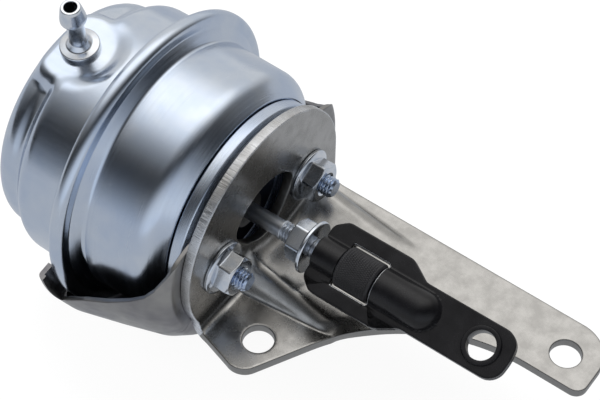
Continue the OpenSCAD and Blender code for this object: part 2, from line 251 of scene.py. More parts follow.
def wall_profile(path, thickness, step=1.5):
    """A closed profile: the path, then the same path set inwards by the wall's thickness, back to its
    start."""
    path = dense(path, step, closed=False)
    inner = beside(path, -thickness)
    inner[:, 1] = np.maximum(inner[:, 1], 0)
    return np.concatenate([path, inner[::-1]])


def pressed_sheet(region, low, high, step, thickness, edge, place):
    """A sheet cut to region(p) < 0, thickness deep, with its sheared edges rounded by edge.

    A square grid of cells covers the region shrunk by edge. Points on the rim of the kept
    cells are pulled onto that outline along the distance's slope. From each of them a row of
    points goes round a quarter circle, down the wall, and round to the back face.
    place(p, depth) gives the point of the finished sheet for a flat point and a depth. The third
    value given back is the number of faces that come before those of the sheared edges.
    """
    nx = int(round((high[0] - low[0]) / step))
    ny = int(round((high[1] - low[1]) / step))
    grid = np.meshgrid(np.linspace(low[0], high[0], nx + 1), np.linspace(low[1], high[1], ny + 1),
                       indexing="ij")
    flat = np.stack([axis.ravel() for axis in grid], 1)
    cells = quads(nx + 1, ny + 1)
    cells = cells[region(flat[cells].mean(1)) < -edge]
    used, cells = np.unique(cells, return_inverse=True)
    cells = cells.reshape(-1, 4)
    flat = flat[used]
    sides = np.concatenate([cells[:, [i, (i + 1) % 4]] for i in range(4)])
    key = sides.min(1) * len(flat) + sides.max(1)
    _, first, count = np.unique(key, return_index=True, return_counts=True)
    border = sides[first[count == 1]]
    rim, rim_index = np.unique(border, return_inverse=True)
    rim_index = rim_index.reshape(-1, 2)

    def slope(p):
        h = 0.02
        across = region(p + [h, 0]) - region(p - [h, 0])
        along = region(p + [0, h]) - region(p - [0, h])
        return np.stack([across, along], 1) / (2 * h)

    for _ in range(4):
        p = flat[rim]
        g = slope(p)
        g2 = np.maximum((g ** 2).sum(1), 0.2)
        flat[rim] = p - g * ((region(p) + edge) / g2)[:, None]
    out = slope(flat[rim])
    out /= np.maximum(np.linalg.norm(out, axis=1), 1e-6)[:, None]
    turn = np.linspace(0, math.pi / 2, 4)
    rows = [(edge * math.sin(a), edge * (1 - math.cos(a))) for a in turn[1:]]
    rows += [(edge * math.sin(a), thickness - edge * (1 - math.cos(a))) for a in turn[:0:-1]]
    points = [place(flat, np.zeros(len(flat)))]
    for reach, depth in rows:
        points.append(place(flat[rim] + out * reach, np.full(len(rim), depth)))
    points.append(place(flat, np.full(len(flat), thickness)))
    n, m = len(flat), len(rim)
    back = n + m * len(rows)
    faces = [cells, cells[:, ::-1] + back]
    wall = [rim[rim_index], *(n + m * k + rim_index for k in range(len(rows))), rim[rim_index] + back]
    for one, two in zip(wall, wall[1:]):
        faces.append(np.stack([one[:, 1], one[:, 0], two[:, 0], two[:, 1]], 1))
    return np.concatenate(points), np.concatenate(faces), 2 * len(cells)


def turned(points, angle, axis="X"):
    """Points turned by an angle about an axis."""
    return points @ np.array(Matrix.Rotation(angle, 3, axis)).T


def piece(name, shape, body, finishes, stands_for, crease=35.0, bevel=0.0, which=None):
    """Puts a shape (points in mm about the rod, faces) into the scene as an object that rides on a body
    and stands for a node. Edges sharper than crease degrees stay sharp. Where finishes names more than
    one, which gives each face's place in that list."""
    points, faces = shape
    mesh = bpy.data.meshes.new(name)
    points = (points + SEAT) * MM
    mesh.vertices.add(len(points))
    mesh.vertices.foreach_set("co", points.astype(np.float32).ravel())
    mesh.loops.add(faces.size)
    mesh.loops.foreach_set("vertex_index", faces.astype(np.int32).ravel())
    mesh.polygons.add(len(faces))
    mesh.polygons.foreach_set("loop_start", np.arange(0, faces.size, 4, dtype=np.int32))
    if which is not None:
        mesh.polygons.foreach_set("material_index", np.asarray(which, np.int32))
    mesh.update(calc_edges=True)
    mesh.validate()
    bm = bmesh.new()
    bm.from_mesh(mesh)
    bmesh.ops.remove_doubles(bm, verts=bm.verts, dist=2e-6)
    bmesh.ops.dissolve_degenerate(bm, edges=bm.edges, dist=1e-7)
    bmesh.ops.recalc_face_normals(bm, faces=bm.faces)
    limit = math.radians(crease)
    for e in bm.edges:
        e.smooth = len(e.link_faces) != 2 or e.calc_face_angle(0) < limit
    for f in bm.faces:
        f.smooth = True
    bm.to_mesh(mesh)
    bm.free()
    obj = bpy.data.objects.new(name, mesh)
    bpy.context.scene.collection.objects.link(obj)
    for finish in finishes:
        mesh.materials.append(material(finish))
    if bevel:
        cut = obj.modifiers.new("edge", "BEVEL")
        cut.width = bevel * MM
        cut.segments = 2
        cut.limit_method = "ANGLE"
        cut.angle_limit = math.radians(28)
        cut.harden_normals = True
    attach(obj, body)
    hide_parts(stands_for)


# Materials


def add(tree, kind, sockets=None, **settings):
    """Adds a node: settings go to its properties or else its sockets by name. By a socket's name or
    number, sockets gives what goes into it: another node's output, a node for its first output, or a
    value."""
    node = tree.nodes.new(kind)
    for key, value in settings.items():
        if hasattr(node, key):
            setattr(node, key, value)
        else:
            node.inputs[key.replace("_", " ")].default_value = value
    for key, value in (sockets or {}).items():
        if isinstance(value, bpy.types.Node):
            value = value.outputs[0]
        if isinstance(value, bpy.types.NodeSocket):
            tree.links.new(value, node.inputs[key])
        else:
            node.inputs[key].default_value = value
    return node


def new_material(name):
    """An empty procedural material; returns it, its tree and the Object coordinates."""
    made = bpy.data.materials.new(name)
    made.use_nodes = True
    tree = made.node_tree
    tree.nodes.clear()
    return made, tree, add(tree, "ShaderNodeTexCoord").outputs["Object"]


def clouded(tree, noise, one, two, band):
    """A colour that goes from one to two over a band of a noise."""
    share = add(tree, "ShaderNodeMapRange", {"Value": noise}, From_Min=band[0], From_Max=band[1])
    return add(tree, "ShaderNodeMix", {"Factor": share, "A": (*one, 1), "B": (*two, 1)},
               data_type="RGBA").outputs["Result"]


def metal(name, one, two, rough, streak, blotch=60.0, bump=0.02, grain=9000.0, grain_bump=0.02, only=None):
    """Bare or plated steel: two tones in soft blotches, roughness and relief in streaks, and a fine grain
    over both. Streaks may be kept to stations from only[0] to only[1] along the rod, in millimetres."""
    made, tree, coords = new_material(name)
    tone = (*one, 1)
    if one != two:
        cloud = add(tree, "ShaderNodeTexNoise", {"Vector": coords}, Scale=blotch, Detail=3.0, Roughness=0.6)
        tone = clouded(tree, cloud, one, two, (0.35, 0.65))
    drawn = add(tree, "ShaderNodeMapping", {"Vector": coords}, Scale=streak)
    line = add(tree, "ShaderNodeTexNoise", {"Vector": drawn}, Scale=1.0, Detail=4.0, Roughness=0.65)
    roughness = add(tree, "ShaderNodeMapRange", {"Value": line}, From_Min=0.3, From_Max=0.7, To_Min=rough[0],
                    To_Max=rough[1])
    if only:
        place = add(tree, "ShaderNodeSeparateXYZ", {"Vector": coords})
        inside = add(tree, "ShaderNodeMapRange", {"Value": place.outputs["X"]},
                     From_Min=(only[0] + SEAT[0]) * MM, From_Max=(only[1] + SEAT[0]) * MM)
        line = add(tree, "ShaderNodeMath", {0: line, 1: inside}, operation="MULTIPLY")
    fine = add(tree, "ShaderNodeTexNoise", {"Vector": coords}, Scale=grain, Detail=3.0)
    first = add(tree, "ShaderNodeBump", {"Height": fine}, Strength=grain_bump, Distance=0.1 * MM)
    relief = add(tree, "ShaderNodeBump", {"Height": line, "Normal": first}, Strength=bump, Distance=0.1 * MM)
    shader = add(tree, "ShaderNodeBsdfPrincipled", {"Base Color": tone, "Roughness": roughness,
                                                    "Normal": relief, "Metallic": 1.0})
    add(tree, "ShaderNodeOutputMaterial", {"Surface": shader})
    return made


def coat(name, base, rough, level, bump=0.05):
    """A coat of paint or rubber: one colour a little uneven in tone and roughness, with orange peel in
    the bump."""
    made, tree, coords = new_material(name)
    peel = add(tree, "ShaderNodeTexNoise", {"Vector": coords}, Scale=2500.0, Detail=2.0)
    cloud = add(tree, "ShaderNodeTexNoise", {"Vector": coords}, Scale=180.0, Detail=3.0)
    light = tuple(min(1, c * 1.6 + 0.002) for c in base)
    roughness = add(tree, "ShaderNodeMapRange", {"Value": cloud}, From_Min=0.3, From_Max=0.7, To_Min=rough[0],
                    To_Max=rough[1])
    relief = add(tree, "ShaderNodeBump", {"Height": peel}, Strength=bump, Distance=0.02 * MM)
    shader = add(tree, "ShaderNodeBsdfPrincipled", {
        "Base Color": clouded(tree, cloud, base, light, (0.3, 0.7)), "Roughness": roughness,
        "Normal": relief, "Specular IOR Level": level})
    add(tree, "ShaderNodeOutputMaterial", {"Surface": shader})
    return made


# Metals: name, two colours, range of roughness, streaks per metre along X, Y and Z, and other settings.
METALS = {
    # bright zinc plate over drawn sheet: clear reflections whose edges break up into a fine speckle
    "drawn_zinc": ("bright_zinc_plate_drawn", "zinc", "zinc_blue", (0.16, 0.26), (60, 500, 500),
                   dict(bump=0.03, grain=2600.0, grain_bump=0.07)),
    # the same plate on the front shell, with turning rings only on the cone next to the base ring
    "shell_zinc": ("bright_zinc_plate_spun_cone", "zinc", "zinc_blue", (0.16, 0.28), (2600, 40, 40),
                   dict(bump=0.3, grain=2600.0, grain_bump=0.07, only=(-16.0, -14.6))),
    # zinc plate over a turned ring: fine rings round the axis widen the highlights
    "turned_zinc": ("bright_zinc_plate_turned", "zinc", "zinc_blue", (0.2, 0.34), (3200, 90, 90),
                    dict(bump=0.3, grain=2600.0, grain_bump=0.12)),
    # blue zinc on rolled thread: bluish glints between the crests
    "stud_zinc": ("blue_zinc_rolled_thread", "stud_zinc", "zinc_blue", (0.16, 0.26), (900, 900, 900),
                  dict(bump=0.0, grain_bump=0.0)),
    # bright zinc on forged nuts: soft-edged, slightly milky highlights
    "nut_zinc": ("bright_zinc_forged_nut", "nut_zinc", "zinc", (0.14, 0.24), (500, 500, 500),
                 dict(blotch=260.0, bump=0.01, grain_bump=0.0)),
    # bright zinc on a ground rod: clear lines of light along it
    "rod_zinc": ("bright_zinc_ground_rod", "nut_zinc", "zinc", (0.3, 0.42), (60, 900, 900),
                 dict(blotch=260.0, bump=0.05, grain_bump=0.0)),
    # a sheared edge round a disc: short lines across its thickness, drawn 0.8 mm apart so that they show
    "sheared_rim": ("sheared_steel_rim", "nut_zinc", "steel", (0.2, 0.4), (60, 3200, 3200),
                    dict(bump=1.6, grain=2600.0, grain_bump=0.2)),
    # the same edge along the flat arm, where the lines run up and down
    "sheared_edge": ("sheared_steel_edge", "edge", "edge", (0.3, 0.45), (1300, 1300, 70),
                     dict(bump=0.3, grain=2600.0, grain_bump=0.15)),
    # painted highlight: a light steel tone on the black coat's sheared edges, where they catch the light
    "worn_edge": ("bare_steel_worn_edge", "nut_zinc", "nut_zinc", (0.35, 0.45), (500, 500, 500), {}),
    # zinc plate deep inside the canister, near black as painted shade, with a bluish glint
    "dark_well": ("sooty_zinc_plate_inside", "well_painted_shade", "well_painted_shade", (0.25, 0.4), (400, 400, 400), {}),
    # rolled stainless plate: satin, with a light cloudy mottle left by tumbling
    "bracket_steel": ("satin_steel_plate_tumbled", "steel", "steel_dark", (0.2, 0.32), (240, 240, 240),
                      dict(blotch=240.0, bump=0.05, grain=3000.0, grain_bump=0.03)),
    # dark satin pressed sheet: broad dull highlights
    "cradle_steel": ("dark_steel_sheet_pressed", "cradle", "steel_dark", (0.3, 0.42), (200, 400, 400),
                     dict(grain=2600.0, grain_bump=0.06)),
    # plain drawn steel inside the canister: dull and grey
    "inner_steel": ("plain_drawn_steel", "steel_dark", "cradle", (0.35, 0.5), (300, 300, 300), {}),
    # sintered bearing bronze, near black as painted shade inside the canister, and fine-grained
    "bronze": ("oiled_sintered_bronze", "bronze", "bronze", (0.35, 0.5), (900, 900, 900),
               dict(grain_bump=0.2)),
}
# Coats: name, colour, range of roughness, specular level, and other settings.
COATS = {
    # electrophoretic black coat on stampings: deep black with soft lamp reflections
    "gloss_black": ("gloss_black_dip_coat", "black", (0.2, 0.3), 0.28, {}),
    # black oxide on a knurled nut: dull black, glints only on the ridges
    "matt_black": ("black_oxide_knurled", "matt_black", (0.38, 0.5), 0.35, dict(bump=0.12)),
    # fabric-backed rubber: dull black
    "rubber": ("fabric_backed_rubber", "rubber", (0.6, 0.75), 0.4, dict(bump=0.3)),
}
MATERIALS = {}


def material(name):
    """The finish of that name, made the first time it is asked for."""
    if name not in MATERIALS:
        tones = bpy.context.scene.actuator_colours
        if name in METALS:
            title, one, two, rough, streak, more = METALS[name]
            made = metal(title, tuple(getattr(tones, one)), tuple(getattr(tones, two)), rough, streak, **more)
        else:
            title, base, rough, level, more = COATS[name]
            made = coat(title, tuple(getattr(tones, base)), rough, level, **more)
        MATERIALS[name] = made
    return MATERIALS[name]


# Canister

NIPPLE_BACK = -59.3
NIPPLE_TILT = math.radians(7)
NIPPLE_LEAN = math.radians(-2)
BORE = 1.85
WALL = 1.2
CAP_STEP = 0.8


def cap_shape(sizes):
    """The cap's wall: a profile from the crimp's flange over the wall, the shoulder, the waist and the
    raised end, turned about the rod. Round the nipple the radius goes over to that of a flat pad, pad
    height / cos(angle from it)."""
    cap, plateau = sizes.cap_radius / MM, sizes.plateau_radius / MM
    crimp, pad = sizes.crimp_radius / MM, sizes.pad_height / MM
    path = rounded([
        (-39.3, crimp - WALL - 0.9, 0), (-39.3, cap, 1.4), (-56.6, cap - 0.2, 4.5),
        (-60.2, plateau - 0.9, 3), (-63.5, plateau - 0.3, 4), (-69.9, plateau - 0.7, 6), (-69.9, 0, 0),
    ], closed=False)
    profile = wall_profile(path, -WALL, CAP_STEP)
    outer = np.arange(len(profile))[:, None] < len(profile) // 2

    def shift(x, radius, angle):
        off = (angle - math.pi / 2 - NIPPLE_TILT + math.pi) % TURN - math.pi
        near = np.cos(off) > 0.5
        distance = np.hypot(x - NIPPLE_BACK, radius * np.sin(off))
        weight = np.where(near, 1 - smooth((distance - 9.5) / 6.0), 0.0)
        weight = weight * (1 - smooth((-x - 64.8) / 4.6))
        level = np.where(outer, pad, pad - WALL)
        return radius + weight * (level / np.where(near, np.cos(off), 1.0) - radius)

    return revolve(profile, 360, shift)


def base_shape(sizes):
    """The front shell: a profile from inside the rolled crimp over its bead, down the flange, along the
    wall, over the shoulder and into the hollow round the rod guide, turned about the rod. Its faces in the
    hollow are marked, for a near-black colour that paints the shade there."""
    crimp, front, ring = sizes.crimp_radius / MM, sizes.front_radius / MM, sizes.ring_radius / MM
    path = rounded([
        (-40.5, crimp - 4.3, 0), (-40.5, crimp, 2.2), (-35.8, crimp, 2.2), (-35.5, front + 3.5, 1.0),
        (-33.2, front, 1.3), (-14.2, front - 0.4, 6), (-9.1, ring + 0.4, 0.8), (-9.1, 28, 0),
        (-8.7, 27.6, 0), (-8.7, 17, 0.8), (-11.5, 15, 0.8), (-11.5, 5.6, 0),
    ], closed=False)
    points, faces = revolve(wall_profile(path, WALL), 256)
    at = points[faces].mean(1)
    return (points, faces), (at[:, 0] > -15.0) & (np.hypot(at[:, 1], at[:, 2]) < 17.0)


def nipple_shape(sizes):
    """The barbed tube: a closed profile of flange, fillet, tube, barb and tip round its bore, turned about
    its own axis, then stood on the pad with a slight lean."""
    top = sizes.nipple_length / MM
    profile = rounded([
        (-2.4, BORE, 0), (-2.4, 2.3, 0), (0.05, 2.3, 0), (0.05, 5.7, 0), (1.6, 5.7, 0.5), (2.1, 3.6, 0.9),
        (3.6, 2.5, 1.4), (top - 7.0, 2.45, 1.5), (top - 5.4, 3.75, 0.7), (top - 4.2, 3.65, 0.7),
        (top - 0.8, 3.0, 0.8), (top, 2.7, 0.4), (top, BORE, 0.2),
    ], steps=6)
    points, faces = revolve(profile, 96)
    upright = np.stack([-points[:, 2], points[:, 1], points[:, 0]], 1)
    lean = np.clip(upright[:, 2:] / 3.0, 0, 1)
    tilted = turned(upright, -NIPPLE_LEAN, axis="Y")
    upright = upright * (1 - lean) + tilted * lean
    upright += [NIPPLE_BACK, 0, sizes.pad_height / MM]
    return turned(upright, NIPPLE_TILT), faces


def ring_shape(sizes):
    """The thick base ring: a closed profile with a bevelled front, turned about the rod."""
    r = sizes.ring_radius / MM
    return revolve(rounded([
        (RING_BACK, 17.2, 0.3), (RING_BACK, r, 0.4), (-5.3, r, 0.6), (-4.5, r - 1.4, 0.3),
        (-4.5, 17.2, 0.4),
    ], steps=5), 256)


# Sheet metal

PLATE = 3.0
BEND = 3.0
ARM_TOP = -17.4
FOOT = -ARM_TOP - BEND
FLAT_X = FOOT + BEND * math.pi / 2 - BEND
DISC_R = 34.5
SIDE_FAR = 34.4
HOLES = ((15.3, -24.2), (87.0, 22.1))
HOLE_R = 4.5
STUD_Y = 20.1
STUD_HOLE_R = 3.3
RISE = 8.4
RUN = 38.0


def gusset(x, y):
    """Height of the pressed gusset over the arm: two rounded crests with a shallow valley between them,
    sinking to nothing along the arm. A flank at share t of its width has the height 1 - (1 - t)^2, with a
    small fillet at its foot, and both flanks narrow away from the disc."""
    near_crest, far_crest = -7.5, 23.4
    near_wide = 7.2 - 3.4 * np.clip(x / RUN, 0, 1)
    far_wide = 8.6 - 3.6 * np.clip(x / RUN, 0, 1)
    near = np.clip((y - near_crest + near_wide) / near_wide, 0, 1)
    far = np.clip((far_crest + far_wide - y) / far_wide, 0, 1)
    near = (1 - (1 - near) ** 2) * smooth(near / 0.3)
    far = (1 - (1 - far) ** 2) * smooth(far / 0.42)
    inside = np.clip((y - near_crest) / (far_crest - near_crest), 0, 1)
    valley = 1 - 0.42 * np.sin(np.pi * inside) ** 1.3
    # the far crest runs out sooner than the near one
    run = RUN - 4.0 * smooth(inside)
    fall = np.clip(1 - x / run, 0, 1)
    fall = np.where(fall < 0.16, fall * fall / 0.32, fall - 0.08) / 0.92
    # it sinks before it meets the arm's hollow edge, an arc about (80.6, -45.6)
    clear = smooth((np.hypot(x + BEND - 80.6, y + 45.6) - 58.6) / 6.0)
    clear = np.where(x > 12, clear + (1 - clear) * smooth((24 - x) / 12), 1.0)
    return RISE * fall * near * far * valley * clear


def bend_at(y):
    """The bend for each y: its radius, wider under the gusset, where it starts down the disc, where it ends
    along the arm and how far it turns, which is a right angle less the gusset's own slope there."""
    radius = BEND + 4.5 * gusset(np.zeros_like(y), y) / RISE * (1 - smooth((np.abs(y) - 4) / 13))
    near = np.maximum(0.77 * radius - BEND, 0)
    fall = (gusset(near, y) - gusset(near + 0.5, y)) / 0.5
    turn = math.pi / 2 - np.arctan(fall)
    end = radius * (1 - np.cos(turn))
    start = -(ARM_TOP + gusset(np.maximum(end - BEND, 0), y) + radius * np.sin(turn))
    return radius, start, end, turn


def bracket_place(p, depth):
    """The bracket's sheet. Flat points run down the disc's face, round the bend and out along the arm;
    under the gusset the bend is wider and starts higher up the disc. Depth goes square to the face, found
    from its two slopes."""
    def face(u, y):
        radius, start, end, turn = bend_at(y)
        t = np.clip((u - start) / (end + FLAT_X - start), 0, 1) * turn
        on_disc, on_bend = u < start, u < end + FLAT_X
        x = np.where(on_disc, 0.0, np.where(on_bend, radius - radius * np.cos(t), u - FLAT_X))
        arm = ARM_TOP + gusset(np.maximum(x - BEND, 0), y)
        z = np.where(on_disc, -u, np.where(on_bend, -start - radius * np.sin(t), arm))
        return np.stack([x, y, z], 1)

    u, y = p[:, 0], p[:, 1]
    h = 0.35
    du = face(u + h, y) - face(u - h, y)
    dy = face(u, y + h) - face(u, y - h)
    normal = np.cross(du, dy)
    normal /= np.linalg.norm(normal, axis=1)[:, None]
    return face(u, y) - depth[:, None] * normal


def bracket_shape():
    """The bracket plate as one pressed sheet: its flat outline is the disc, the foot and the arm with its
    ear, less the central hole, the stud holes and the two mounting holes. Its faces are marked 0 on the
    sheet, 1 on the disc's sheared rim, and 2 on the arm's sheared edges and in the holes."""
    foot_y = -math.sqrt(DISC_R ** 2 - FOOT ** 2)
    arc = np.linspace(math.atan2(foot_y, FOOT), math.atan2(SIDE_FAR, -2.6) - TURN, 90)
    disc = DISC_R * np.stack([np.cos(arc), np.sin(arc)], 1)
    arm = rounded([
        (3, SIDE_FAR, 0), (97.3, SIDE_FAR - 1.2, 11), (97.3, 12.8, 3.5), (45.0, 13.2, 58),
        (17.5, -37.2, 6), (3, foot_y, 0),
    ], steps=28)[1:-1]
    arm[:, 0] += FLAT_X
    outline = np.concatenate([disc, [[0, SIDE_FAR]], arm, [[FOOT + 1, foot_y]]])

    def region(p):
        d = outline_distance(p, outline)
        # the hole is round at the top, and its lower edge hangs in a shallow curve over the gusset
        sag = (p[:, 0] - 7.4 + 0.07 * p[:, 1] ** 2) / np.hypot(1, 0.14 * p[:, 1])
        top = disc_distance(p, (-0.4, 0), 14.6)
        centre = np.maximum(top, sag) + 1.6 * np.maximum(1 - np.abs(top - sag) / 3.2, 0) ** 2 / 2
        d = np.maximum(d, -centre)
        for side in (-1, 1):
            d = np.maximum(d, -disc_distance(p, (0, side * STUD_Y), STUD_HOLE_R))
        for x, y in HOLES:
            d = np.maximum(d, -disc_distance(p, (x + FLAT_X, y), HOLE_R))
        return d

    points, faces, flat = pressed_sheet(region, (-35.2, -38.0), (114.8, 35.2), 0.47, PLATE, 0.35,
                                        bracket_place)
    at = points[faces[:, 0]]
    which = np.where((at[:, 0] < 1.5) & (np.hypot(at[:, 1], at[:, 2]) > 28), 1, 2)
    which[:flat] = 0
    return (points, faces), which


CRADLE_T = 1.5


def cradle_shape():
    """The support cradle: for each angle round the rod a profile runs from the hole's edge out over the
    clamped plate, round the bend and back over the wrap, as far as the sheared upper edge lets it. The
    face is the profile at a share of that reach, and the back face lies a sheet's thickness behind it.
    Two tabs carry the rolled lip up the sides."""
    path = dense(rounded([
        (-3.0, 17.5, 0), (-3.0, 38.8, 3.2), (-9, 42.6, 6), (-21, 46, 12), (-35, 49.6, 6),
        (-42.8, 49.8, 1.7), (-42.8, 44.6, 0),
    ], closed=False), 0.4, closed=False)
    along = np.concatenate([[0], np.cumsum(np.linalg.norm(np.diff(path, axis=0), axis=1))])
    side = beside(path, 1.0) - path
    degrees = np.concatenate([
        np.linspace(-90, -30, 70, False), np.linspace(-30, 35, 130, False),
        np.linspace(35, 145, 80, False), np.linspace(145, 210, 130, False),
        np.linspace(210, 270, 70, False),
    ])
    # the reach along the profile, for heights in degrees over the level of the rod
    height = np.where(degrees > 90, 180 - degrees, degrees)
    reach = np.interp(
        height, (-27.2, -27, -17.5, -11, -6.5, -1.2, 4, 8, 13.5, 20, 25.5, 30, 34),
        (along[-1], 60.3, 55.5, 48, 40, 33, 28, 25.5, 23.5, 21.0, 17.5, 14.5, 13.8))
    edge = 0.3

    def station(s, depth):
        x, r = np.interp(s, along, path[:, 0]), np.interp(s, along, path[:, 1])
        return x + np.interp(s, along, side[:, 0]) * depth, r + np.interp(s, along, side[:, 1]) * depth

    turn = np.linspace(0, math.pi / 2, 4)[1:]
    rounding = [(edge * (1 - math.sin(a)), edge * (1 - math.cos(a))) for a in turn]
    face = [(edge + share * (reach - 2 * edge), 0.0) for share in np.linspace(0, 1, 90)]
    rows = face + [(reach - back, deep) for back, deep in rounding]
    rows += [(reach - back, CRADLE_T - deep) for back, deep in rounding[::-1]]
    rows += [(s, CRADLE_T) for s, _ in face[::-1]]
    rows += [(back + 0 * reach, CRADLE_T - deep) for back, deep in rounding]
    rows += [(back + 0 * reach, deep) for back, deep in rounding[::-1]]
    points = np.stack([around(*station(s, depth), np.radians(degrees)) for s, depth in rows])
    shapes = [(points.reshape(-1, 3), quads(len(rows), len(degrees), True, True))]
    lip = np.linspace(60.6, along[-1], 24)
    front, back = np.stack(station(lip, 0.0), 1), np.stack(station(lip, CRADLE_T), 1)
    section = np.concatenate([front, back[::-1]])
    for start, end in ((-28.0, -8.0), (208.0, 188.0)):
        grid = around(section[:, 0], section[:, 1], np.radians(np.linspace(start, end, 40))[:, None])
        shapes.append((grid.reshape(-1, 3), quads(len(grid), len(section), False, True)))
        for cap in (grid[0], grid[-1]):
            shapes.append((np.concatenate([cap[:24], cap[:23:-1]]), quads(2, 24)))
    return joined(*shapes)


# Link

LINK_T = 1.5
EYE_X = 72.0
EYE_HOLE = 5.05


def link_height(x, w):
    """Height of a half's outer face over its seam: the flat flange, and the two half barrels pressed up
    from it with round feet. A barrel's height is the square root of its radius squared less the distance
    from its axis squared."""
    rear = np.sqrt(np.maximum(5.0 ** 2 - w ** 2, 0))
    past = np.maximum(x - 53.0, 0) * 1.05
    front = np.sqrt(np.maximum(5.9 ** 2 - w ** 2 - past ** 2, 0))
    barrel = np.where(x < 33, rear, front)
    foot = 0.9
    h = np.clip(0.5 + 0.5 * (barrel - LINK_T) / foot, 0, 1)
    return LINK_T * (1 - h) + barrel * h + foot * h * (1 - h) * 0.6


def link_place(p, depth):
    """The half's sheet: outer face at the pressed height, depth going square to it."""
    def face(x, w):
        return np.stack([x, w, link_height(x, w)], 1)

    x, w = p[:, 0], p[:, 1]
    h = 0.12
    normal = np.cross(face(x + h, w) - face(x - h, w), face(x, w + h) - face(x, w - h))
    normal /= np.linalg.norm(normal, axis=1)[:, None]
    inner = face(x, w) - depth[:, None] * normal
    inner[:, 2] = np.maximum(inner[:, 2], 0.02)
    return inner


def link_shape(sizes, side):
    """One half of the link: a pressed sheet with a window for the adjuster and a hole for the eye's bush.
    The faces whose light tone paints a highlight, at the window's two sides and its front end, are marked."""
    outline = rounded([
        (18.7, -8.2, 3), (22.4, -11.1, 3), (43.6, -11.1, 4), (50, -7.35, 4), (80.2, -7.35, 5),
        (80.9, 0, 14), (80.2, 7.35, 5), (50, 7.35, 4), (43.6, 11.1, 4), (22.4, 11.1, 3), (18.7, 8.2, 3),
    ])

    def region(p):
        d = outline_distance(p, outline)
        d = np.maximum(d, -rectangle_distance(p, (26.6, -6.6), (38.8, 6.6), 0.7))
        return np.maximum(d, -disc_distance(p, (EYE_X, 0), EYE_HOLE))

    points, faces, flat = pressed_sheet(region, (18.4, -11.4), (81.0, 11.4), 0.3, LINK_T, 0.25, link_place)
    x, w = np.abs(points[faces].mean(1)[:, :2]).T
    # a light steel tone on these edges paints their highlight
    edge_highlight = (w < 7.0) & (x > 26.8) & (x < 39.3) & ((w > 6.2) | (x > 38.5))
    edge_highlight[:flat] = False
    points = points * [1, 1, side]
    return (turned(points, sizes.link_roll), faces), edge_highlight


def bush_shape(sizes):
    """The eye's bush: a closed profile of the bore, two raised collars and the waist held by the link,
    turned about the eye's own axis."""
    h = LINK_T
    profile = rounded([
        (-h - 0.7, 4.15, 0.15), (-h - 0.7, 5.35, 0.2), (-h, 5.65, 0), (-h, EYE_HOLE, 0),
        (h, EYE_HOLE, 0), (h, 5.65, 0), (h + 0.7, 5.35, 0.2), (h + 0.7, 4.15, 0.15),
    ], steps=4)
    points, faces = revolve(profile, 128)
    upright = np.stack([-points[:, 2] + EYE_X, points[:, 1], points[:, 0]], 1)
    return turned(upright, sizes.link_roll), faces


ADJUSTER_BACK = 27.0
ADJUSTER_FRONT = 38.2
ADJUSTER_R = 6.1


def knurled_shape(sizes):
    """The adjuster nut: a barrel whose radius dips by 0.2 mm along two families of crossing helical
    grooves, with chamfered ends and a plain bore."""
    x = np.linspace(ADJUSTER_BACK, ADJUSTER_FRONT, 170)[:, None]
    segments = sizes.knurl_count * 8
    angle = np.arange(segments) * TURN / segments
    a, lead = angle * sizes.knurl_count / TURN, x / 1.5
    one = np.abs((a + lead) % 1 - 0.5) * 2
    two = np.abs((a - lead) % 1 - 0.5) * 2
    groove = np.minimum(1, 2.2 * np.minimum(one, two))
    end = np.minimum(x - ADJUSTER_BACK, ADJUSTER_FRONT - x)
    radius = ADJUSTER_R - 0.2 * (1 - groove) * smooth((end - 0.3) / 0.5) - np.maximum(0.5 - end, 0)
    bore_x = np.array([[ADJUSTER_FRONT], [ADJUSTER_FRONT - 0.5], [ADJUSTER_BACK + 0.5], [ADJUSTER_BACK]])
    bore_r = np.array([[3.6], [3.03], [3.03], [3.6]])
    points = np.concatenate([around(x, radius, angle), around(bore_x, bore_r, angle)])
    return points.reshape(-1, 3), quads(len(points), segments, True, True)


# Threads and nuts


STUD_R = 3.0
LOCK_NUT_FRONT = 17.0
NUT_BEVEL = 0.12


def threaded(start, end, radius, pitch, plain=None):
    """A threaded bar along X. Row x and angle a have the radius less a triangle wave of (x / pitch - a /
    turn), 0.6 mm deep for a 1 mm pitch, run out over the ends; a plain shank may lead up to it from
    plain."""
    x = np.arange(start, end, pitch / 12)
    x = np.append(x[x < end - 0.01], end)
    segments = 96
    angle = np.arange(segments) * TURN / segments
    wave = (x[:, None] / pitch - angle / TURN) % 1
    tooth = np.clip(1.35 * np.abs(wave * 2 - 1) - 0.12, 0, 1)
    depth = 0.58 * pitch * (1 - tooth)
    lead = smooth((x - start) / pitch)[:, None]
    chamfer = np.maximum(0.75 - (end - x), 0)[:, None]
    r = np.minimum(radius - depth * lead, radius - chamfer)
    closed = np.zeros((1, segments))
    if plain is None:
        x, r = np.concatenate([[start], x, [end]]), np.concatenate([closed, r, closed])
    else:
        x = np.concatenate([[plain, plain], x, [end]])
        r = np.concatenate([closed, closed + radius, r, closed])
    return around(x[:, None], r, angle).reshape(-1, 3), quads(len(x), segments, False, True)


def joined(*shapes):
    """Several shapes as one."""
    points, faces, n = [], [], 0
    for p, f in shapes:
        points.append(p)
        faces.append(f + n)
        n += len(p)
    return np.concatenate(points), np.concatenate(faces)


